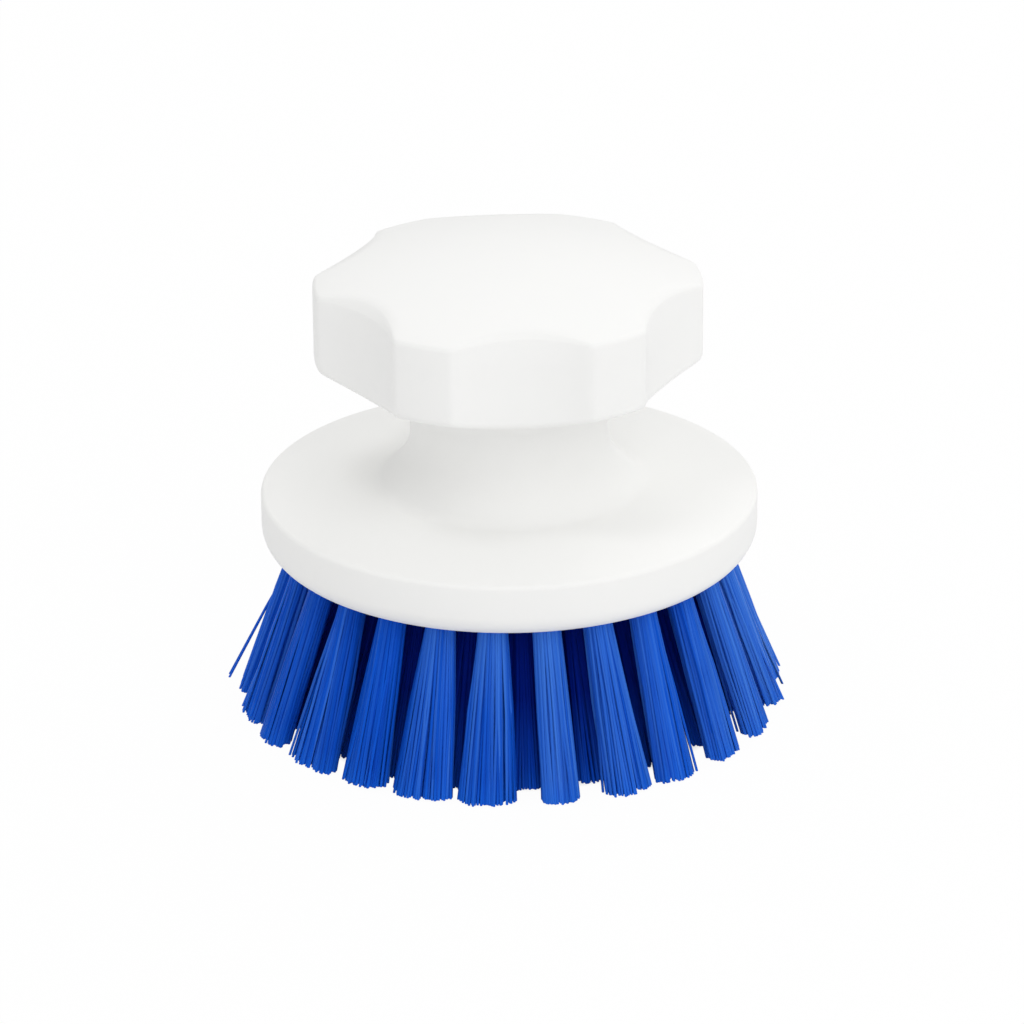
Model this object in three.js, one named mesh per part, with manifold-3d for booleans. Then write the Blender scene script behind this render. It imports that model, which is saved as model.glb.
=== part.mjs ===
// Round churn brush: a scalloped palm knob, a neck and a disc in one moulding, with circles of stapled tufts.
// Millimetres, +Z up. The origin is on the brush's axis, in the plane of the bristle tips.
import * as THREE from 'three';
import { mergeVertices } from 'three/addons/utils/BufferGeometryUtils.js';
import Module from 'manifold-3d';

const wasm = await Module();
wasm.setup();

// Disc
const discRadius = 50;
const discThickness = 13.1;       // in its flat middle
const discFlatMargin = 2.1;       // of the flat middle past the neck's toe
const discRimSlope = THREE.MathUtils.degToRad(10);   // of the domed top where it meets the rim
const discTopRound = 1;
const discBottomRound = 4.6;

// Neck
const neckRadius = 19.8;
const neckLength = 19.4;          // from the disc's top to where the knob's underside meets the neck
const neckFootSpread = 6.3;       // how far the foot of the neck stands out past the neck
const neckFlareAngle = THREE.MathUtils.degToRad(42);
const neckFlareRound = 11;
const neckToeFillet = 4;
const neckTopFillet = 4;

// Knob
const knobRadius = 38.75;
const knobRimHeight = 16.1;
const knobCrown = 5.7;            // how far the top of the knob stands above its rim
const knobUndersideSlope = THREE.MathUtils.degToRad(20);
const knobEdgeRound = 1;
const scallopCount = 6;
const scallopDepth = 5.3;
const scallopRadius = 34;

// Tufts
const bristleLength = 33.7;       // free length below the disc
const tuftInset = 9;              // from the disc's edge to the centres of the outer tufts
const tuftHoleRadius = 3.1;
const tuftHoleDepth = 6.2;
const outerTuftLean = 12;         // how far an outer tuft leans out over its free length
const secondTuftLean = 14;
const thirdTuftLean = 9;
const tuftTipGap = 1.2;           // between neighbouring tufts at their tips
const tuftTipDepth = 5;           // across the tips of a tuft, outwards from the brush's axis
const strandsPerTuft = 8;
const strandRadius = 0.55;
const strandRootCover = 0.3;      // from the outermost strands to the wall of the hole
const secondCircleInset = 8;      // from the outer circle of tufts to the second
const thirdCircleInset = 13.5;    // from the second circle of tufts to the third
const outerTuftCount = 25;
const secondTuftCount = 20;
const thirdTuftCount = 8;
const outerTuftTurn = THREE.MathUtils.degToRad(5.5);

// Backing slices, which carry the tufts
const sliceThickness = 2;
const sliceEdge = 0.6;            // from the holes of the outer tufts to the edge of their slice

// Staples
const stapleWire = 0.8;
const stapleWidth = 4.4;
const stapleBite = 1.4;           // how far the legs go into the stock past the end of the hole
const foldWidth = 4.6;            // across the folded filaments, square to the staple
const foldCover = 1.2;            // thickness of the folded filaments over the staple

// Clearance between pieces that fit into each other
const fit = 0.3;

// Facets
const roundSteps = 48;
const scallopSteps = 60;
const holeSides = 8;
const strandSides = 3;
const sliceSteps = 36;

// Levels, from the bristle tips up
const discBottom = bristleLength;
const discTop = discBottom + discThickness;
const sliceTop = discBottom + sliceThickness;
const recessTop = sliceTop + fit;
const holeTop = discBottom + tuftHoleDepth;
const foldTop = holeTop - fit;
const stapleCrownTop = foldTop - foldCover - fit;
const stapleTop = holeTop + stapleBite;
const neckToe = neckRadius + neckFootSpread + neckToeFillet * Math.tan(Math.PI / 4 - neckFlareAngle / 2);
const knobUnderside = discTop + neckLength;
const knobRimBottom = knobUnderside + (knobRadius - neckRadius) * Math.tan(knobUndersideSlope);
const knobTop = knobRimBottom + knobRimHeight + knobCrown;

const whitePlastic = () => new THREE.MeshStandardMaterial({ color: 0xeeeeea, roughness: 0.45, metalness: 0 });
const blueFilament = () => new THREE.MeshStandardMaterial({ color: 0x1f6fd0, roughness: 0.4, metalness: 0 });
const stapleSteel = () => new THREE.MeshStandardMaterial({ color: 0xb9bcc0, roughness: 0.35, metalness: 1 });

// Solid of a closed geometry, for joining and cutting
function solid(geometry) {
  const bare = geometry.clone();
  bare.deleteAttribute('normal');
  bare.deleteAttribute('uv');
  const merged = mergeVertices(bare, 1e-5);
  const vertProperties = new Float32Array(merged.attributes.position.array);
  const triVerts = new Uint32Array(merged.index.array);
  return new wasm.Manifold(new wasm.Mesh({ numProp: 3, vertProperties, triVerts }));
}

function geometryOf(body) {
  const mesh = body.getMesh();
  const geometry = new THREE.BufferGeometry();
  geometry.setAttribute('position', new THREE.BufferAttribute(mesh.vertProperties, 3));
  geometry.setIndex(new THREE.BufferAttribute(mesh.triVerts, 1));
  geometry.computeVertexNormals();
  return geometry;
}

// Points on an arc of a profile, with angles in radians from +r towards +z
function arc(r, z, radius, from, to, steps) {
  const points = [];
  for (let i = 0; i <= steps; i += 1) {
    const angle = from + ((to - from) * i) / steps;
    points.push(new THREE.Vector2(r + radius * Math.cos(angle), z + radius * Math.sin(angle)));
  }
  return points;
}

// A body turned about Z from a profile of (radius, height) points
function turned(points, steps) {
  const geometry = new THREE.LatheGeometry(points, steps);
  geometry.rotateX(Math.PI / 2);
  return geometry;
}

// An upright cylinder between two heights
function upright(radius, bottom, top, sides) {
  const geometry = new THREE.CylinderGeometry(radius, radius, top - bottom, sides);
  geometry.rotateX(Math.PI / 2);
  geometry.translate(0, 0, (bottom + top) / 2);
  return geometry;
}

// Circles of tufts, from the rim of the disc to its centre
function circleOfTufts(name, radius, count, turn, lean) {
  const spread = (Math.PI * (radius + lean)) / count - tuftTipGap / 2;
  return { name, radius, count, turn, lean, spread };
}

const outerRadius = discRadius - tuftInset;
const secondRadius = outerRadius - secondCircleInset;
const thirdRadius = secondRadius - thirdCircleInset;
const circles = [
  circleOfTufts('outer', outerRadius, outerTuftCount, outerTuftTurn, outerTuftLean),
  circleOfTufts('second', secondRadius, secondTuftCount, 0, secondTuftLean),
  circleOfTufts('third', thirdRadius, thirdTuftCount, 0, thirdTuftLean),
];
circles.push({ name: 'centre', radius: 0, count: 1, turn: 0, lean: 0, spread: circles[0].spread });

// Slices meet midway between their circles of tufts
circles.forEach((circle, i) => {
  const inward = circles[i + 1];
  const outward = circles[i - 1];
  circle.sliceInner = inward ? (circle.radius + inward.radius) / 2 + fit / 2 : 0;
  circle.sliceOuter = outward
    ? (circle.radius + outward.radius) / 2 - fit / 2
    : circle.radius + tuftHoleRadius + sliceEdge;
});

// Places of a circle's tufts: an angle of 0 faces -Y
function tuftAngles(circle) {
  const angles = [];
  for (let i = 0; i < circle.count; i += 1) {
    angles.push(circle.turn + (i * 2 * Math.PI) / circle.count - Math.PI / 2);
  }
  return angles;
}

// Turns a geometry that is made on +X out to a tuft's place
function placeAt(geometry, radius, angle) {
  geometry.translate(radius, 0, 0);
  geometry.rotateZ(angle);
  return geometry;
}

// Knob and neck
function knobProfile() {
  const slopeSin = Math.sin(knobUndersideSlope);
  const slopeCos = Math.cos(knobUndersideSlope);
  const slopeTan = slopeSin / slopeCos;
  const quarter = Math.PI / 2;
  const neckTop = knobUnderside + neckTopFillet * slopeTan - neckTopFillet / slopeCos;
  const flareRise = neckFootSpread / Math.tan(neckFlareAngle) + neckFlareRound * Math.tan(neckFlareAngle / 2);
  const flare = 2 * quarter + neckFlareAngle;
  const rimIn = knobRadius - knobEdgeRound;
  const rimLow = knobUnderside + (rimIn - neckRadius) * slopeTan + knobEdgeRound / slopeCos;
  const crownRadius = (knobRadius ** 2 + knobCrown ** 2) / (2 * knobCrown);
  const crownCentre = knobTop - crownRadius;
  const rimHigh = crownCentre + Math.sqrt((crownRadius - knobEdgeRound) ** 2 - rimIn ** 2);
  const crownStart = Math.atan2(rimHigh - crownCentre, rimIn);
  const crown = arc(0, crownCentre, crownRadius, crownStart, quarter, 4);
  crown.pop();
  return [
    new THREE.Vector2(0, discTop),
    ...arc(neckToe, discTop + neckToeFillet, neckToeFillet, 3 * quarter, flare, 2),
    ...arc(neckRadius + neckFlareRound, discTop + flareRise, neckFlareRound, flare, 2 * quarter, 3),
    ...arc(neckRadius + neckTopFillet, neckTop, neckTopFillet, 2 * quarter, quarter + knobUndersideSlope, 2),
    ...arc(rimIn, rimLow, knobEdgeRound, knobUndersideSlope - quarter, 0, 2),
    ...arc(rimIn, rimHigh, knobEdgeRound, 0, crownStart, 2),
    ...crown.slice(1),
    new THREE.Vector2(0, knobTop),
  ];
}

function scallopCutter(index) {
  const cutter = upright(scallopRadius, knobUnderside, knobTop + fit, scallopSteps);
  const centre = knobRadius - scallopDepth + scallopRadius;
  return placeAt(cutter, centre, (index * 2 * Math.PI) / scallopCount - Math.PI / 2);
}

function makeKnob() {
  let body = solid(turned(knobProfile(), roundSteps));
  for (let i = 0; i < scallopCount; i += 1) {
    body = body.subtract(solid(scallopCutter(i)));
  }
  return geometryOf(body);
}

// Disc
function discProfile() {
  const quarter = Math.PI / 2;
  const domeStart = neckToe + discFlatMargin;
  const domeRadius = (discRadius - discTopRound - domeStart) / Math.sin(discRimSlope) + discTopRound;
  const domeCentre = discTop - domeRadius;
  const rimCentre = domeCentre + (domeRadius - discTopRound) * Math.cos(discRimSlope);
  const dome = arc(domeStart, domeCentre, domeRadius, quarter - discRimSlope, quarter, 4);
  return [
    new THREE.Vector2(0, discBottom),
    ...arc(discRadius - discBottomRound, discBottom + discBottomRound, discBottomRound, -quarter, 0, 4),
    ...arc(discRadius - discTopRound, rimCentre, discTopRound, 0, quarter - discRimSlope, 3),
    ...dome.slice(1),
    new THREE.Vector2(0, discTop),
  ];
}

function makeDisc() {
  let body = solid(turned(discProfile(), roundSteps));
  const recessRadius = circles[0].sliceOuter + fit;
  body = body.subtract(solid(upright(recessRadius, discBottom - fit, recessTop, roundSteps)));
  for (const circle of circles) {
    for (const angle of tuftAngles(circle)) {
      const hole = upright(tuftHoleRadius, sliceTop, holeTop, holeSides);
      body = body.subtract(solid(placeAt(hole, circle.radius, angle)));
      const slotHeight = stapleTop + fit - foldTop;
      const slot = new THREE.BoxGeometry(stapleWire + 2 * fit, stapleWidth + 2 * fit, slotHeight);
      slot.translate(0, 0, foldTop + slotHeight / 2);
      body = body.subtract(solid(placeAt(slot, circle.radius, angle)));
    }
  }
  return geometryOf(body);
}

// Folded roots of a tuft: filaments that pass over the staple's crown, as a block with an eye in it
function foldedRoot() {
  const sunk = sliceThickness / 2;
  const eyeTop = stapleCrownTop + fit;
  const eyeBottom = stapleCrownTop - stapleWire - fit;
  const eyeHalf = stapleWire / 2 + fit;
  const shape = new THREE.Shape();
  shape.moveTo(-foldWidth / 2, sliceTop - sunk);
  shape.lineTo(foldWidth / 2, sliceTop - sunk);
  shape.lineTo(foldWidth / 2, foldTop);
  shape.lineTo(-foldWidth / 2, foldTop);
  shape.closePath();
  const eye = new THREE.Path();
  eye.moveTo(-eyeHalf, eyeBottom);
  eye.lineTo(-eyeHalf, eyeTop);
  eye.lineTo(eyeHalf, eyeTop);
  eye.lineTo(eyeHalf, eyeBottom);
  eye.closePath();
  shape.holes.push(eye);
  const between = stapleWidth - 2 * stapleWire - 2 * fit;
  const geometry = new THREE.ExtrudeGeometry(shape, { depth: between, bevelEnabled: false });
  geometry.translate(0, 0, -between / 2);
  geometry.rotateX(Math.PI / 2);
  return geometry;
}

// A three-sided strand: one stands in the middle of its tuft and the others round it. Towards the tips they
// all fan out sideways alike, so that none crosses another.
function strand(circle, index) {
  const aside = index === 0 ? 0 : 1;
  const angle = (index * 2 * Math.PI) / (strandsPerTuft - 1);
  const rootSpread = (tuftHoleRadius - strandRootCover - strandRadius) * aside;
  const tipWide = (circle.spread - strandRadius) * aside;
  const tipDeep = (tuftTipDepth / 2 - strandRadius) * aside;
  const sunk = sliceThickness / 2;
  const section = new THREE.Shape();
  for (let side = 0; side < strandSides; side += 1) {
    const corner = (side * 2 * Math.PI) / strandSides;
    const point = [strandRadius * Math.cos(corner), strandRadius * Math.sin(corner)];
    if (side === 0) section.moveTo(...point);
    else section.lineTo(...point);
  }
  section.closePath();
  const geometry = new THREE.ExtrudeGeometry(section, { depth: discBottom + sunk, bevelEnabled: false });
  const place = geometry.attributes.position;
  for (let i = 0; i < place.count; i += 1) {
    const down = (discBottom - place.getZ(i)) / discBottom;
    const deep = rootSpread + (tipDeep - rootSpread) * down;
    const wide = rootSpread + (tipWide - rootSpread) * down;
    const x = place.getX(i) + circle.lean * down + deep * Math.cos(angle);
    const y = place.getY(i) + wide * Math.sin(angle);
    place.setXY(i, x, y);
  }
  return geometry;
}

function makeBristles(circle) {
  let body = solid(upright(circle.sliceOuter, discBottom, sliceTop, sliceSteps));
  if (circle.sliceInner > 0) {
    body = body.subtract(solid(upright(circle.sliceInner, discBottom - fit, sliceTop + fit, sliceSteps)));
  }
  for (const angle of tuftAngles(circle)) {
    body = body.add(solid(placeAt(foldedRoot(), circle.radius, angle)));
    for (let i = 0; i < strandsPerTuft; i += 1) {
      body = body.add(solid(placeAt(strand(circle, i), circle.radius, angle)));
    }
  }
  return geometryOf(body);
}

// A staple: its crown lies in the eye of the folded root, and its legs stand in the stock
function makeStaple() {
  const half = stapleWidth / 2;
  const crownBottom = stapleCrownTop - stapleWire;
  const shape = new THREE.Shape();
  shape.moveTo(-half, crownBottom);
  shape.lineTo(half, crownBottom);
  shape.lineTo(half, stapleTop);
  shape.lineTo(half - stapleWire, stapleTop);
  shape.lineTo(half - stapleWire, stapleCrownTop);
  shape.lineTo(stapleWire - half, stapleCrownTop);
  shape.lineTo(stapleWire - half, stapleTop);
  shape.lineTo(-half, stapleTop);
  shape.closePath();
  const geometry = new THREE.ExtrudeGeometry(shape, { depth: stapleWire, bevelEnabled: false });
  geometry.translate(0, 0, -stapleWire / 2);
  geometry.rotateX(Math.PI / 2);
  geometry.rotateZ(Math.PI / 2);
  return geometry;
}

const brush = new THREE.Group();

function addPiece(name, geometry, material) {
  const piece = new THREE.Mesh(geometry, material);
  piece.name = name;
  brush.add(piece);
  return piece;
}

addPiece('knob', makeKnob(), whitePlastic());
addPiece('disc', makeDisc(), whitePlastic());
for (const circle of circles) {
  addPiece(`bristles_${circle.name}`, makeBristles(circle), blueFilament());
}
for (const circle of circles) {
  tuftAngles(circle).forEach((angle, i) => {
    const number = String(i + 1).padStart(2, '0');
    addPiece(`staple_${circle.name}_${number}`, placeAt(makeStaple(), circle.radius, angle), stapleSteel());
  });
}

export default brush;
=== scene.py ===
import math
import random

import bmesh
import bpy
import numpy as np
from mathutils import Matrix, Vector


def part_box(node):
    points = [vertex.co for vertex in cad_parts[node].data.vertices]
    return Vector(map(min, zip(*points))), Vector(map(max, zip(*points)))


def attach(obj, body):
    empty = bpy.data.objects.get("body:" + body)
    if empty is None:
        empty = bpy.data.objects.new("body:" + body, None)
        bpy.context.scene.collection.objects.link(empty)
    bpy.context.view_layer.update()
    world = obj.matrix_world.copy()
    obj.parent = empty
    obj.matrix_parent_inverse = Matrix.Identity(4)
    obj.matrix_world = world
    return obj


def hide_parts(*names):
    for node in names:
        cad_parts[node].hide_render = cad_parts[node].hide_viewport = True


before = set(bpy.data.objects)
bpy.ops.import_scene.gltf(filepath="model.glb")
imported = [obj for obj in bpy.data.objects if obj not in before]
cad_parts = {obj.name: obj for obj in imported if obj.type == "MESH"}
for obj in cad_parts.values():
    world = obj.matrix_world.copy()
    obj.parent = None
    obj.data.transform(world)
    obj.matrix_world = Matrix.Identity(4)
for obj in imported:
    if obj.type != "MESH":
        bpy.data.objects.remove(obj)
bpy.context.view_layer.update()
mm = 0.001
quarterTurn = math.pi / 2
halfTurn = math.pi
fullTurn = 2 * math.pi
print("frame loaded with", len(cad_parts), "nodes")


# Camera: the photograph looks down on the brush from a little left of a scallop's middle
shot = {
    "distance": 1000 * mm,            # level distance from the brush's axis
    "height": 478.2 * mm,             # above the bristle tips
    "pitch": math.radians(23.71),
    "sideways": math.radians(-4.27),  # round the brush, from the scallop that faces -Y
    "aim": math.radians(0.0303),      # the axis stands a little left of the picture's middle
    "roll": math.radians(-0.39),
    "lens": 190.2,
    "sensor": 36.0,
    "farClip": 10.0,
}


def setCamera():
    spot = Matrix.Rotation(shot["sideways"], 4, "Z") @ Vector((0, -shot["distance"], shot["height"]))
    turn = Matrix.Rotation(shot["sideways"] - shot["aim"], 4, "Z")
    tilt = Matrix.Rotation(quarterTurn - shot["pitch"], 4, "X")
    roll = Matrix.Rotation(shot["roll"], 4, "Z")
    bpy.ops.object.camera_add(location=spot)
    camera = bpy.context.object
    camera.name = "photoCamera"
    camera.matrix_world = Matrix.Translation(spot) @ turn @ tilt @ roll
    camera.data.lens = shot["lens"]
    camera.data.sensor_width = shot["sensor"]
    camera.data.clip_end = shot["farClip"]
    bpy.context.scene.camera = camera


# Shader maths: a wire is a socket, and Python's operators on it add Math nodes
class Wire:
    def __init__(self, finish, socket):
        self.finish = finish
        self.socket = socket

    def math(self, operation, first, second):
        return self.finish.node("ShaderNodeMath", {"operation": operation}, {0: first, 1: second})

    def __add__(self, other):
        return self.math("ADD", self, other)

    def __radd__(self, other):
        return self.math("ADD", other, self)

    def __sub__(self, other):
        return self.math("SUBTRACT", self, other)

    def __rsub__(self, other):
        return self.math("SUBTRACT", other, self)

    def __mul__(self, other):
        return self.math("MULTIPLY", self, other)

    def __rmul__(self, other):
        return self.math("MULTIPLY", other, self)


class Finish:
    def __init__(self, owner):
        owner.use_nodes = True
        self.owner = owner
        self.tree = owner.node_tree
        self.tree.nodes.clear()

    # one node: its type, its settings, then what its sockets hold or are linked to
    def node(self, kind, settings=None, sockets=None, output=0):
        made = self.tree.nodes.new(kind)
        for name, value in (settings or {}).items():
            setattr(made, name, value)
        for name, value in (sockets or {}).items():
            if isinstance(value, Wire):
                self.tree.links.new(value.socket, made.inputs[name])
            else:
                made.inputs[name].default_value = value
        return Wire(self, made.outputs[output]) if made.outputs else None

    def place(self):
        return self.node("ShaderNodeTexCoord", {}, {}, "Object")

    def attribute(self, name):
        return self.node("ShaderNodeAttribute", {"attribute_name": name}, {}, "Fac")

    def ray(self, kind):
        return self.node("ShaderNodeLightPath", {}, {}, kind)

    def blend(self, share, first, second):
        return self.node("ShaderNodeMix", {"data_type": "RGBA"}, {0: share, 6: first, 7: second}, 2)

    def noise(self, place, scale, detail=2.0, rough=0.5):
        sockets = {"Vector": place, "Scale": scale, "Detail": detail, "Roughness": rough}
        return self.node("ShaderNodeTexNoise", {}, sockets, "Fac")

    def spread(self, value, low, high):
        sockets = {"Value": value, "From Min": low, "From Max": high}
        return self.node("ShaderNodeMapRange", {}, sockets)

    def bump(self, height, strength, distance):
        sockets = {"Height": height, "Strength": strength, "Distance": distance}
        return self.node("ShaderNodeBump", {}, sockets, "Normal")

    def surface(self, sockets):
        shader = self.node("ShaderNodeBsdfPrincipled", {}, sockets)
        self.node("ShaderNodeOutputMaterial", {}, {"Surface": shader})
        return self.owner


middleTone = 0.5                   # of noise, and of a filament's tone


# White moulding: neutral on the knob, a little warmer on the disc, with a fine satin grain
# and faint flow marks
stockFinish = {
    "knobWhite": (0.920, 0.920, 0.908, 1),
    "discWhite": (0.920, 0.919, 0.905, 1),
    "flowWhite": (0.900, 0.900, 0.890, 1),
    "roughness": 0.40,
    "specular": 0.06,
    "grainSize": 2600.0,
    "grainSheen": 0.10,            # how much the grain changes the roughness
    "flowSize": 38.0,
    "flowDetail": 3.0,
    "flowBreak": 0.55,
    "flowLow": 0.52,               # noise at which a flow mark begins
    "flowHigh": 0.78,              # noise at which it is full
    "flowShare": 0.35,
    "flowSheen": 0.12,
    "rippleSize": 152.0,
    "rippleShare": 0.3,            # of the relief; the rest is grain
    "reliefStrength": 0.12,
    "reliefHeight": 0.05 * mm,
}


def makeStockPlastic(lowZ, highZ):
    look = stockFinish
    finish = Finish(bpy.data.materials.new("stockPlastic"))
    place = finish.place()
    height = finish.node("ShaderNodeSeparateXYZ", {}, {0: place}, "Z")
    warmth = 1 - finish.spread(height, lowZ, highZ)
    flow = finish.noise(place, look["flowSize"], look["flowDetail"], look["flowBreak"])
    flowMark = finish.spread(flow, look["flowLow"], look["flowHigh"])
    grain = finish.noise(place, look["grainSize"])
    ripple = finish.noise(place, look["rippleSize"])
    white = finish.blend(warmth, look["knobWhite"], look["discWhite"])
    sheen = (grain - middleTone) * look["grainSheen"] + (flow - middleTone) * look["flowSheen"]
    relief = grain * (1 - look["rippleShare"]) + ripple * look["rippleShare"]
    return finish.surface({
        "Base Color": finish.blend(flowMark * look["flowShare"], white, look["flowWhite"]),
        "Roughness": look["roughness"] + sheen,
        "Specular IOR Level": look["specular"],
        "Normal": finish.bump(relief, look["reliefStrength"], look["reliefHeight"]),
    })


# Blue filament: each has its own tone and a painted sheen where highlights would fall, is darker deep inside
# the brush with painted shade, and brighter at its cut tip
filamentFinish = {
    "deepBlue": (0.003, 0.068, 0.500, 1),
    "brightBlue": (0.006, 0.104, 0.675, 1),
    # painted sheen: the paler blue drawn where highlights would fall
    "paintedSheenBlue": (0.052, 0.202, 0.745, 1),
    # painted shade: the dark blue of filaments deep inside the brush
    "paintedShadeBlue": (0.0002, 0.012, 0.260, 1),
    "tipBlue": (0.011, 0.140, 0.740, 1),
    "tipStart": 0.86,              # share of the free length at which the tip begins
    "tipShare": 0.5,
    "gloss": {"outer": 0.03, "inner": 0.02},
    "roughness": 0.36,
    "speckleSize": 900.0,
    "speckleSheen": 0.15,          # how much the speckle changes the roughness
    "toneSheen": 0.08,             # brighter filaments are this much smoother
    "reliefStrength": 0.10,
    "reliefHeight": 0.02 * mm,
}


def makeFilamentBlue(where):
    look = filamentFinish
    finish = Finish(bpy.data.materials.new("filamentBlue_" + where))
    tone = finish.attribute("tone")
    speckle = finish.noise(finish.place(), look["speckleSize"])
    even = finish.blend(tone, look["deepBlue"], look["brightBlue"])
    # painted sheen: paler where highlights would fall
    blue = finish.blend(finish.attribute("paintedSheen"), even, look["paintedSheenBlue"])
    tip = finish.spread(finish.attribute("along"), look["tipStart"], 1.0) * look["tipShare"]
    lit = finish.blend(tip, blue, look["tipBlue"])
    sheen = (speckle - middleTone) * look["speckleSheen"] + (middleTone - tone) * look["toneSheen"]
    return finish.surface({
        # painted shade darkens the filaments deep inside the brush
        "Base Color": finish.blend(finish.attribute("paintedShade"), lit, look["paintedShadeBlue"]),
        "Roughness": look["roughness"] + sheen,
        "Specular IOR Level": look["gloss"][where],
        "Normal": finish.bump(speckle, look["reliefStrength"], look["reliefHeight"]),
    })


# Staple wire: bright steel with fine wear
stapleFinish = {
    "steel": (0.60, 0.61, 0.62, 1),
    "worn": (0.42, 0.42, 0.42, 1),
    "roughness": 0.30,
    "wearSize": 1800.0,
    "wearDetail": 4.0,
    "wearBreak": 0.7,
    "wearSheen": 0.2,              # how much the wear changes the roughness
    "reliefStrength": 0.15,
    "reliefHeight": 0.02 * mm,
}


def makeStapleSteel():
    look = stapleFinish
    finish = Finish(bpy.data.materials.new("stapleSteel"))
    wear = finish.noise(finish.place(), look["wearSize"], look["wearDetail"], look["wearBreak"])
    return finish.surface({
        "Base Color": finish.blend(wear, look["worn"], look["steel"]),
        "Roughness": look["roughness"] + (wear - middleTone) * look["wearSheen"],
        "Metallic": 1.0,
        "Normal": finish.bump(wear, look["reliefStrength"], look["reliefHeight"]),
    })


# Stock: knob, neck and disc in one moulding
discLow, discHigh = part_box("disc")
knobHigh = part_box("knob")[1]
stock = {
    "discRadius": discHigh.x,
    "discBottom": discLow.z,
    "discTop": discHigh.z,
    "flatMargin": 2.1 * mm,        # of the disc's flat middle past the neck's toe
    "rimSlope": math.radians(10),  # of the disc's domed top where it meets the rim
    "discTopRound": 1.0 * mm,
    "discBottomRound": 4.6 * mm,
    "neckRadius": 19.8 * mm,
    "neckLength": 19.4 * mm,       # from the disc's top to where the knob's underside meets the neck
    "footSpread": 6.3 * mm,        # how far the foot of the neck stands out past the neck
    "flareAngle": math.radians(42),
    "flareRound": 11.0 * mm,
    "neckToeFillet": 4.0 * mm,
    "neckTopFillet": 4.0 * mm,
    "knobRadius": knobHigh.x,
    "knobTop": knobHigh.z,
    "knobCrown": 5.7 * mm,
    "undersideSlope": math.radians(20),
    "lobeEdgeRound": 1.2 * mm,     # of the knob's top edge on a lobe
    "scallopEdgeRound": 1.2 * mm,  # of the same edge in the middle of a scallop, where it is nearly a chamfer
    "scallopEdgeFlat": 0.85,
    "bevelScallop": 5,             # the scallop, counted from the front one towards +X, with a broader edge
    "bevelRound": 2.2 * mm,
    "lowEdgeRound": 1.9 * mm,
    "creaseRound": 1.0 * mm,
    "scallops": 6,
    "scallopDepth": 5.3 * mm,
    "scallopRadius": 34.0 * mm,
    "smoothAngle": math.radians(35),
}

# Faces of the stock: round the knob, up each curve of its side, between those curves and over the crown
stockSteps = {
    "scallop": 12,                 # from the middle of a scallop to its crease
    "lobe": 8,                     # from a crease to the middle of a lobe
    "crowding": 1.8,               # above 1 the steps lie closer together near a crease
    "discLow": 8,
    "discRim": 8,
    "dome": 7,
    "toe": 6,
    "flare": 8,
    "neckTop": 5,
    "knobLow": 6,
    "knobTop": 6,
    "between": [2, 1, 2, 3, 2, 4, 3, 1],
    "crownShares": [0.93, 0.84, 0.74, 0.63, 0.52, 0.41, 0.30, 0.20, 0.11, 0.05],
}


# How far the middle of a scallop's arc lies from the brush's axis
def scallopReach():
    return stock["knobRadius"] - stock["scallopDepth"] + stock["scallopRadius"]


def scallopAngles():
    knob, reach, crowding = stock["knobRadius"], scallopReach(), stockSteps["crowding"]
    crease = math.acos((knob ** 2 + reach ** 2 - stock["scallopRadius"] ** 2) / (2 * knob * reach))
    half = math.pi / stock["scallops"]
    halfSet = []                   # from the middle of a scallop almost to the middle of a lobe
    for step in range(stockSteps["scallop"]):
        halfSet.append(crease * (1 - (1 - step / stockSteps["scallop"]) ** crowding))
    for step in range(stockSteps["lobe"]):
        halfSet.append(crease + (half - crease) * (step / stockSteps["lobe"]) ** crowding)
    angles = []
    for scallop in range(stock["scallops"]):
        middle = scallop * 2 * half - quarterTurn
        angles += [middle + angle for angle in halfSet]
        angles.append(middle + half)
        angles += [middle + 2 * half - angle for angle in reversed(halfSet[1:])]
    return angles


# Radius of the knob's upright wall at an angle, with its creases eased
def knobOutline(angle):
    pitch = fullTurn / stock["scallops"]
    offset = (angle + quarterTurn + pitch / 2) % pitch - pitch / 2
    reach = scallopReach()
    under = stock["scallopRadius"] ** 2 - (reach * math.sin(offset)) ** 2
    cut = reach * math.cos(offset) - math.sqrt(max(under, 0))
    ease = max(stock["creaseRound"] - abs(stock["knobRadius"] - cut), 0) / stock["creaseRound"]
    return min(stock["knobRadius"], cut) - ease ** 2 * stock["creaseRound"] / 4


def arcPoints(r, z, radius, start, end, steps):
    points = []
    for step in range(steps + 1):
        angle = start + (end - start) * step / steps
        points.append((r + radius * math.cos(angle), z + radius * math.sin(angle)))
    return points


def linePoints(first, last, steps):
    shares = [step / steps for step in range(1, steps)]
    return [(first[0] + (last[0] - first[0]) * s, first[1] + (last[1] - first[1]) * s) for s in shares]


# An arc drawn towards its chord
def flattened(points, share):
    chord = [points[0]] + linePoints(points[0], points[-1], len(points) - 1) + [points[-1]]
    drawn = []
    for (r, z), (flatR, flatZ) in zip(points, chord):
        drawn.append((r + (flatR - r) * share, z + (flatZ - z) * share))
    return drawn


# Radius at which the fillet of the neck's foot runs out on the disc
def neckToe():
    rest = quarterTurn - stock["flareAngle"]
    return stock["neckRadius"] + stock["footSpread"] + stock["neckToeFillet"] * math.tan(rest / 2)


# Curves of the disc's side: its lower edge, its rim's upper edge and its dome
def discCurves():
    radius, low, top = stock["discRadius"], stock["discBottomRound"], stock["discTopRound"]
    domeStart, domeEnd = neckToe() + stock["flatMargin"], quarterTurn - stock["rimSlope"]
    dome = (radius - top - domeStart) / math.cos(domeEnd) + top
    domeZ = stock["discTop"] - dome
    rimZ = domeZ + (dome - top) * math.sin(domeEnd)
    return [
        arcPoints(radius - low, stock["discBottom"] + low, low, -quarterTurn, 0, stockSteps["discLow"]),
        arcPoints(radius - top, rimZ, top, 0, domeEnd, stockSteps["discRim"]),
        arcPoints(domeStart, domeZ, dome, domeEnd, quarterTurn, stockSteps["dome"])[1:],
    ]


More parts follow.
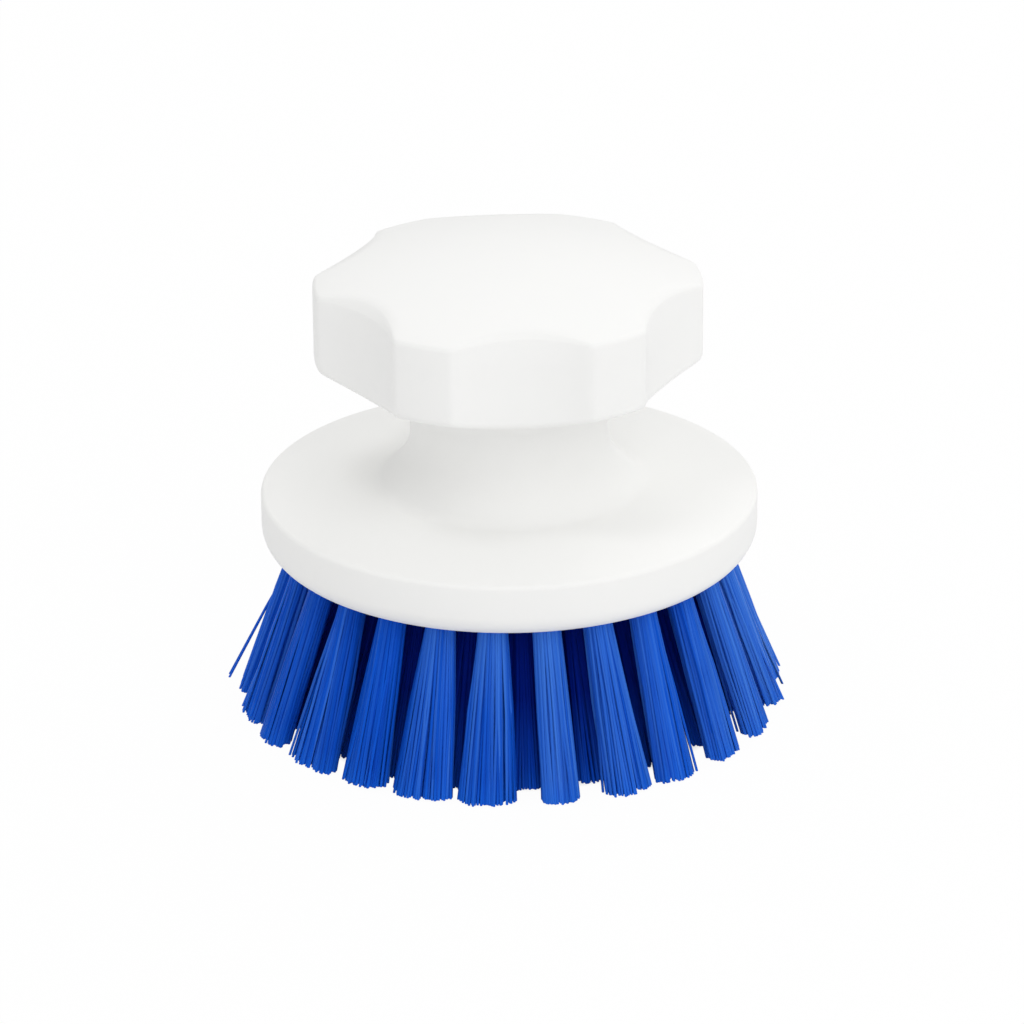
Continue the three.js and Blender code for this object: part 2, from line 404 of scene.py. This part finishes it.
# Curves of the neck's side: its toe on the disc, its flare and the fillet under the knob
def neckCurves(underside):
    radius, toe, top = stock["neckRadius"], stock["neckToeFillet"], stock["neckTopFillet"]
    flare, flareRound, slope = stock["flareAngle"], stock["flareRound"], stock["undersideSlope"]
    flareZ = stock["discTop"] + (stock["footSpread"] / math.tan(flare) + flareRound * math.tan(flare / 2))
    flareTurn = halfTurn + flare
    topZ = underside + top * math.tan(slope) - top / math.cos(slope)
    return [
        arcPoints(neckToe(), stock["discTop"] + toe, toe, 3 * quarterTurn, flareTurn, stockSteps["toe"]),
        arcPoints(radius + flareRound, flareZ, flareRound, flareTurn, halfTurn, stockSteps["flare"]),
        arcPoints(radius + top, topZ, top, halfTurn, quarterTurn + slope, stockSteps["neckTop"]),
    ]


# Curves of the knob's side where its wall stands at the radius outline: its lower edge, its top edge
# and its crown
def knobCurves(underside, outline, scallop):
    slope, low = stock["undersideSlope"], stock["lowEdgeRound"]
    sunk = (stock["knobRadius"] - outline) / stock["scallopDepth"]
    sunkEdge = stock["bevelRound"] if scallop == stock["bevelScallop"] else stock["scallopEdgeRound"]
    top = stock["lobeEdgeRound"] + (sunkEdge - stock["lobeEdgeRound"]) * sunk
    lowR, topR = outline - low, outline - top
    lowZ = underside + (lowR - stock["neckRadius"]) * math.tan(slope) + low / math.cos(slope)
    crown = (stock["knobRadius"] ** 2 + stock["knobCrown"] ** 2) / (2 * stock["knobCrown"])
    crownZ = stock["knobTop"] - crown
    topZ = crownZ + math.sqrt((crown - top) ** 2 - topR ** 2)
    crownAngle = math.atan2(topZ - crownZ, topR)
    crownRadii = [crown * math.cos(crownAngle) * share for share in stockSteps["crownShares"]]
    topEdge = arcPoints(topR, topZ, top, 0, crownAngle, stockSteps["knobTop"])
    return [
        arcPoints(lowR, lowZ, low, slope - quarterTurn, 0, stockSteps["knobLow"]),
        flattened(topEdge, stock["scallopEdgeFlat"] * sunk),
        [(r, crownZ + math.sqrt(crown ** 2 - r ** 2)) for r in crownRadii],
    ]


# Points up the stock's side at one angle
def stockRows(angle):
    underside = stock["discTop"] + stock["neckLength"]
    scallop = round((angle + quarterTurn) * stock["scallops"] / fullTurn) % stock["scallops"]
    curves = discCurves() + neckCurves(underside) + knobCurves(underside, knobOutline(angle), scallop)
    rows = list(curves[0])
    for curve, steps in zip(curves[1:], stockSteps["between"]):
        rows += linePoints(rows[-1], curve[0], steps)
        rows += curve
    return rows


# Vertices of a ring in their order round the brush's axis
def inRing(vertices, start):
    return sorted(vertices, key=lambda v: (math.atan2(v.co.y, v.co.x) - start) % fullTurn)


# The ring that is drawn first is extruded row by row, and each row is set to the stock's outline there
def makeStock(tuftPlaces):
    angles = scallopAngles()
    columns = [stockRows(angle) for angle in angles]
    slack = 1e-4                   # keeps the first vertex first when its angle is rounded down
    bpy.ops.object.select_all(action="DESELECT")
    bpy.ops.mesh.primitive_circle_add(vertices=len(angles), radius=stock["discRadius"])
    piece = bpy.context.object
    piece.name = "stockMoulding"
    bpy.ops.object.mode_set(mode="EDIT")
    bpy.ops.mesh.select_all(action="SELECT")
    sheet = bmesh.from_edit_mesh(piece.data)
    ring = inRing(sheet.verts, angles[0])
    for row in range(len(columns[0])):
        if row:
            bpy.ops.mesh.extrude_region_move()
            sheet = bmesh.from_edit_mesh(piece.data)
            ring = inRing([v for v in sheet.verts if v.select], angles[0] - slack)
        for vertex, angle, column in zip(ring, angles, columns):
            r, z = column[row]
            vertex.co = (r * math.cos(angle), r * math.sin(angle), z)
        bmesh.update_edit_mesh(piece.data)
    closeStock(piece)
    bpy.ops.object.mode_set(mode="OBJECT")
    drillHoles(piece, tuftPlaces)
    bpy.ops.object.select_all(action="DESELECT")
    piece.select_set(True)
    bpy.context.view_layer.objects.active = piece
    bpy.ops.object.shade_smooth_by_angle(angle=stock["smoothAngle"])
    return piece


# The last ring is merged in the middle of the crown, and a face closes the underside
def closeStock(piece):
    bpy.ops.mesh.merge(type="CENTER")
    sheet = bmesh.from_edit_mesh(piece.data)
    for vertex in sheet.verts:
        if vertex.select:
            vertex.co.z = stock["knobTop"]
        vertex.select_set(False)
    for edge in sheet.edges:
        edge.select_set(edge.is_boundary)
    bmesh.update_edit_mesh(piece.data)
    bpy.ops.mesh.edge_face_add()
    bpy.ops.mesh.select_all(action="SELECT")
    bpy.ops.mesh.normals_make_consistent(inside=False)


# Holes for the tufts in the disc's underside
holes = {
    "radius": 3.1 * mm,
    "depth": 6.2 * mm,
    "overrun": 1 * mm,             # of the drill below the underside
    "sides": 28,
}


def drillHoles(piece, tuftPlaces):
    bpy.ops.object.select_all(action="DESELECT")
    drills = []
    length = holes["depth"] + holes["overrun"]
    middle = stock["discBottom"] + (holes["depth"] - holes["overrun"]) / 2
    for x, y in tuftPlaces:
        bpy.ops.mesh.primitive_cylinder_add(vertices=holes["sides"], radius=holes["radius"], depth=length,
                                            location=(x, y, middle))
        drills.append(bpy.context.object)
    for drill in drills:
        drill.select_set(True)
    bpy.context.view_layer.objects.active = drills[0]
    bpy.ops.object.join()
    cutter = bpy.context.object
    bpy.ops.object.select_all(action="DESELECT")
    bpy.context.view_layer.objects.active = piece
    drilling = piece.modifiers.new("tuftHoles", "BOOLEAN")
    drilling.operation = "DIFFERENCE"
    drilling.solver = "EXACT"
    drilling.object = cutter
    bpy.ops.object.modifier_apply(modifier="tuftHoles")
    bpy.data.objects.remove(cutter)


# Tufts: the staples give each tuft's place, and the filaments fan out from there to their tips
tufts = {
    "bundleRadius": 2.9 * mm,      # of the filaments where they come out of the hole
    "filaments": 180,
    "filamentRadius": 0.28 * mm,
    "filamentSides": 5,
    "rooted": 3.0 * mm,            # length of filament inside the hole
    "free": 35.8 * mm,             # length of filament below the hole
    "wideChange": 0.7 * mm,        # of half the width of a tuft's tips
    "sway": 0.5 * mm,              # how far the tips of a whole tuft stand off their place
    "clumps": 9,
    "clumpPull": 0.25,             # how far the tips of a clump draw together
    "clumpHold": (0.3, 1.0),       # least and most of that for one filament
    "stray": 0.22 * mm,
    "wildStray": 0.9 * mm,         # of the few filaments that stand away from their tuft
    "wildShare": 0.05,
    "softness": 1.1,               # how much a filament takes its shading from its whole tuft
    "bow": 0.20 * mm,
    "tipStep": 0.30 * mm,          # unevenness of the cut between clumps
    "tipCut": 0.21 * mm,           # unevenness of the cut between filaments
    "clumpTone": (0.25, 0.75),
    "toneChange": 0.3,             # from filament to filament
    # Painted sheen: how much paler the filaments are drawn where highlights would fall
    "paintedSheenChange": 0.20,            # painted sheen, changing from filament to filament
    "mostPaintedSheen": 0.5,               # of the outer tufts that the photograph doesn't show
    "paintedSheenFade": 2,                 # power by which the painted sheen of the roots fades towards the tips
    "innerShade": 0.98,            # how much painted shade darkens the inner tufts at their roots
    "tipShade": 0.36,              # share of that at their tips
    "shadeFade": 4,                # power by which the painted shade lifts towards the tips
    "seed": 41,
}

# Circles of tufts, in mm: how far the tips lean out from the holes, then half the size of a tuft's tips
# outwards and sideways
circleSpread = {
    "outer": (12.0, 2.4, 5.2),
    "second": (14.0, 3.2, 6.2),
    "third": (9.0, 3.2, 5.6),
    "centre": (0.0, 5.2, 5.2),
}

# Outer tufts that show in the photograph: half the width of the tips and how far they stand to the right,
# in mm, then the painted sheen on the roots and on the tips
seenTufts = {
    20: (5.0, 0.5, 0.2, 0.2),
    21: (4.9, -0.9, 0.05, 0.0),
    22: (5.9, 0.2, 0.0, 0.0),
    23: (5.1, 0.6, 0.05, 0.0),
    24: (6.2, 0.1, 0.45, 0.05),
    25: (5.8, -0.4, 0.7, 0.05),
    1: (3.8, 0.6, 0.85, 0.5),
    2: (5.0, 1.6, 0.5, 0.4),
    3: (4.6, -0.8, 0.3, 0.3),
    4: (4.6, -0.3, 0.2, 0.45),
    5: (5.0, -0.2, 0.55, 0.55),
    6: (4.8, 0.9, 0.8, 0.7),
    7: (4.8, 0.2, 0.9, 0.8),
}

# Loose filaments: the outer tuft that has them, how far they lean out, their number
# and their share of its width
loose = {"tuft": 19, "lean": 16.5 * mm, "count": 2, "width": 0.25}


def tuftCircles():
    circles = {}
    for name in sorted(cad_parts):
        if name.startswith("staple_"):
            low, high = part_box(name)
            centre = (low + high) / 2
            circles.setdefault(name.split("_")[1], []).append(np.array((centre.x, centre.y)))
    return circles


# One filament of unit size along -Z, with rings at its ends and at the given shares of its length
def makeFilament(ringPlaces):
    bpy.ops.object.select_all(action="DESELECT")
    sides = tufts["filamentSides"]
    bpy.ops.mesh.primitive_cylinder_add(vertices=sides, radius=1, depth=1, location=(0, 0, 0))
    model = bpy.context.object
    bpy.ops.object.mode_set(mode="EDIT")
    for place in ringPlaces:
        bpy.ops.mesh.select_all(action="SELECT")
        bpy.ops.mesh.bisect(plane_co=(0, 0, 0.5 - place), plane_no=(0, 0, 1))
    bpy.ops.object.mode_set(mode="OBJECT")
    points = np.array([vertex.co for vertex in model.data.vertices])
    faces = [list(face.vertices) for face in model.data.polygons]
    bpy.data.objects.remove(model)
    return points, faces


# Places of a tuft's filaments in its hole, of radius 1, set like the seeds of a sunflower
def tuftRoots(dice):
    golden = math.pi * (3 - math.sqrt(5))
    turn = dice.uniform(0, fullTurn)
    roots = []
    for index in range(tufts["filaments"]):
        r = math.sqrt((index + 0.5) / tufts["filaments"])
        angle = turn + index * golden
        roots.append(np.array((r * math.cos(angle), r * math.sin(angle))))
    return roots


def pair(dice, size):
    return np.array((dice.gauss(0, size), dice.gauss(0, size)))


# The fan of one tuft: for each filament its start, its end and the height there, its tone, its painted sheen
# at root and tip, the side of the tuft that it stands on and its bow
def tuftFan(place, lean, deep, wide, sideways, paintedSheen, dice):
    far = np.hypot(*place)
    outward = place / far if far > mm else np.array((1.0, 0.0))
    aside = np.array((-outward[1], outward[0]))
    reach = tufts["bundleRadius"] - tufts["filamentRadius"]
    change = tufts["toneChange"]
    roots = tuftRoots(dice)
    heads = [roots[dice.randrange(len(roots))] for clump in range(tufts["clumps"])]
    drops = [abs(dice.gauss(0, tufts["tipStep"])) for head in heads]
    tones = [dice.uniform(*tufts["clumpTone"]) for head in heads]
    fan = []
    for root in roots:
        near = min(range(len(heads)), key=lambda i: np.hypot(*(heads[i] - root)))
        aim = root + (heads[near] - root) * tufts["clumpPull"] * dice.uniform(*tufts["clumpHold"])
        wild = dice.random() < tufts["wildShare"]
        out, side = aim * (deep, wide) + pair(dice, tufts["wildStray" if wild else "stray"])
        stand = outward * root[0] + aside * root[1]
        start = place + stand * reach
        end = place + outward * (lean + out) + aside * (sideways + side)
        level = stock["discBottom"] - math.sqrt(tufts["free"] ** 2 - np.dot(end - start, end - start))
        endZ = max(level, 0) + drops[near] + abs(dice.gauss(0, tufts["tipCut"]))
        tone = min(max(tones[near] + dice.uniform(-change, change), 0), 1)
        # painted sheen, changing a little from filament to filament
        sheenOffset = dice.gauss(0, tufts["paintedSheenChange"])
        paintedSheens = (paintedSheen[0] + sheenOffset, paintedSheen[1] + sheenOffset)
        fan.append((start, end, endZ, tone, paintedSheens, stand, pair(dice, tufts["bow"])))
    return fan


# Normals square to a filament's run, turned towards the given sides
def softNormals(sides, run):
    axis = np.array(run) / np.linalg.norm(run)
    normals = np.column_stack([sides, np.zeros(len(sides))])
    normals -= np.outer(normals @ axis, axis)
    return normals / np.linalg.norm(normals, axis=1)[:, None]


def makeTufts(name, fans, model, innerShade):
    points, faces = model
    rim = points[:, :2]
    along = 0.5 - points[:, 2]
    mouthZ = stock["discBottom"]
    rootZ = mouthZ + tufts["rooted"]
    allPoints, allNormals, polygons = [], [], []
    marks = {"tone": [], "paintedSheen": [], "along": [], "paintedShade": []}
    for index, (start, end, endZ, tone, (rootPaintedSheen, tipPaintedSheen), stand, bow) in enumerate(fans):
        z = rootZ + (endZ - rootZ) * along
        down = np.clip((mouthZ - z) / (mouthZ - endZ), 0, 1)
        level = start + np.outer(down, end - start) + np.outer(np.sin(down * math.pi), bow)
        # painted sheen, fading from the root's to the tip's
        paintedSheen = tipPaintedSheen + (rootPaintedSheen - tipPaintedSheen) * (1 - down) ** tufts["paintedSheenFade"]
        # painted shade, lifting towards the tips
        paintedShade = 1 - (1 - tufts["tipShade"]) * down ** tufts["shadeFade"]
        allPoints.append(np.column_stack([level + rim * tufts["filamentRadius"], z]))
        allNormals.append(softNormals(rim + stand * tufts["softness"], (*(end - start), endZ - mouthZ)))
        polygons += [[corner + index * len(points) for corner in face] for face in faces]
        marks["tone"].append(np.full(len(points), tone))
        marks["paintedSheen"].append(np.clip(paintedSheen, 0, 1))
        marks["along"].append(down)
        marks["paintedShade"].append(paintedShade * innerShade)
    mesh = bpy.data.meshes.new(name)
    mesh.from_pydata(np.concatenate(allPoints).tolist(), [], polygons)
    for label, values in marks.items():
        layer = mesh.attributes.new(label, "FLOAT", "POINT")
        layer.data.foreach_set("value", np.concatenate(values).astype(np.float32))
    mesh.shade_smooth()
    mesh.normals_split_custom_set_from_vertices(np.concatenate(allNormals).tolist())
    piece = bpy.data.objects.new(name, mesh)
    bpy.context.collection.objects.link(piece)
    print(name, len(fans), "filaments,", len(mesh.polygons), "faces")
    return piece


# Stage: a plain white floor that keeps the brush's shadow, and soft light
stage = {
    "floorSize": 6.0,
    "floorWhite": (0.90, 0.90, 0.90, 1),
    "underBrush": (40 * mm, 48 * mm),  # the floor's whole shadow shows up to the first radius
    "shadowShare": 0.03,           # how much of it the camera sees past the second radius
    "skyLevel": 0.74,
    "glossSky": 0.35,              # the sky in reflections
    "lampReach": 1.3,              # from the lamps to the middle of the brush
    "lampAim": (0, 0, 50 * mm),
    "glossLamp": "key",            # the only lamp that shows in reflections
}

# Lamps: height above the floor and turn to the right of the brush's front, in degrees, then watts and size
lamps = {
    "key": (40, 30, 3.5, 0.9),
    "back": (40, 150, 3.1, 0.9),
    "high": (70, -60, 1.3, 0.35),
}


def seenDirectly(finish):
    return finish.ray("Is Camera Ray") + finish.ray("Is Transmission Ray")


def makeFloor():
    bpy.ops.object.select_all(action="DESELECT")
    bpy.ops.mesh.primitive_plane_add(size=stage["floorSize"], location=(0, 0, 0))
    floor = bpy.context.object
    floor.name = "floor"
    finish = Finish(bpy.data.materials.new("floorWhite"))
    matt = finish.node("ShaderNodeBsdfDiffuse", {}, {"Color": stage["floorWhite"]})
    glow = finish.node("ShaderNodeEmission", {}, {"Color": (1, 1, 1, 1), "Strength": 1.0})
    far = finish.node("ShaderNodeVectorMath", {"operation": "LENGTH"}, {0: finish.place()}, "Value")
    clear = finish.spread(far, *stage["underBrush"]) * (1 - stage["shadowShare"])
    mixed = finish.node("ShaderNodeMixShader", {}, {0: seenDirectly(finish) * clear, 1: matt, 2: glow})
    finish.node("ShaderNodeOutputMaterial", {}, {"Surface": mixed})
    floor.data.materials.append(finish.owner)


def makeLight():
    scene = bpy.context.scene
    scene.view_settings.view_transform = "Standard"
    world = bpy.data.worlds.new("studio")
    scene.world = world
    finish = Finish(world)
    sky = stage["skyLevel"]
    seenSky = sky + seenDirectly(finish) * (1 - sky)
    level = seenSky - finish.ray("Is Glossy Ray") * (sky - stage["glossSky"])
    light = finish.node("ShaderNodeBackground", {}, {"Color": (1, 1, 1, 1), "Strength": level})
    finish.node("ShaderNodeOutputWorld", {}, {"Surface": light})
    aim = Vector(stage["lampAim"])
    for name, (height, turn, power, size) in lamps.items():
        tilt = Matrix.Rotation(math.radians(turn), 4, "Z") @ Matrix.Rotation(math.radians(-height), 4, "X")
        toLamp = tilt @ Vector((0, -stage["lampReach"], 0))
        bpy.ops.object.light_add(type="AREA", location=aim + toLamp)
        lamp = bpy.context.object
        lamp.name = name + "Lamp"
        lamp.data.shape = "DISK"
        lamp.data.size = size
        lamp.data.energy = power
        lamp.visible_glossy = name == stage["glossLamp"]
        lamp.rotation_euler = toLamp.to_track_quat("Z", "Y").to_euler()


setCamera()
makeFloor()
makeLight()
print("camera, floor and light set")

circles = tuftCircles()
places = [place for circle in circles.values() for place in circle]
stockPlastic = makeStockPlastic(stock["discTop"], stock["discTop"] + stock["neckLength"])
stockPiece = makeStock(places)
stockPiece.data.materials.clear()
stockPiece.data.materials.append(stockPlastic)
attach(stockPiece, "root")
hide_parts("knob", "disc")
print("stock made with", len(stockPiece.data.polygons), "faces")

outerBlue, innerBlue = makeFilamentBlue("outer"), makeFilamentBlue("inner")
dice = random.Random(tufts["seed"])
mouth = tufts["rooted"] / (tufts["rooted"] + stock["discBottom"])
filament = makeFilament([mouth, (mouth + 1) / 2])
for circle, (lean, deep, tipWide) in circleSpread.items():
    outside = circle == "outer"
    fans = []
    for number, place in enumerate(circles[circle], 1):
        wide = tipWide * mm + dice.uniform(-1, 1) * tufts["wideChange"]
        sideways = dice.gauss(0, tufts["sway"])
        # painted sheen: none on inner tufts, random on outer ones, listed in seenTufts for those that show
        paintedSheen = (0, 0)
        if outside:
            paintedSheen = (dice.uniform(0, tufts["mostPaintedSheen"]), dice.uniform(0, tufts["mostPaintedSheen"]))
        if outside and number in seenTufts:
            wide, sideways = [value * mm for value in seenTufts[number][:2]]
            paintedSheen = seenTufts[number][2:]
        fans += tuftFan(place, lean * mm, deep * mm, wide, sideways, paintedSheen, dice)
        if outside and number == loose["tuft"]:
            stragglers = tuftFan(place, loose["lean"], deep * mm, wide * loose["width"], 0, paintedSheen, dice)
            fans += stragglers[:loose["count"]]
    piece = makeTufts("tufts_" + circle, fans, filament, 0 if outside else tufts["innerShade"])
    piece.data.materials.append(outerBlue if outside else innerBlue)
    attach(piece, "root")
    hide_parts("bristles_" + circle)

stapleSteel = makeStapleSteel()
for name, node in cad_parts.items():
    if name.startswith("staple_"):
        for slot in node.material_slots:
            slot.material = stapleSteel
print("staples finished")
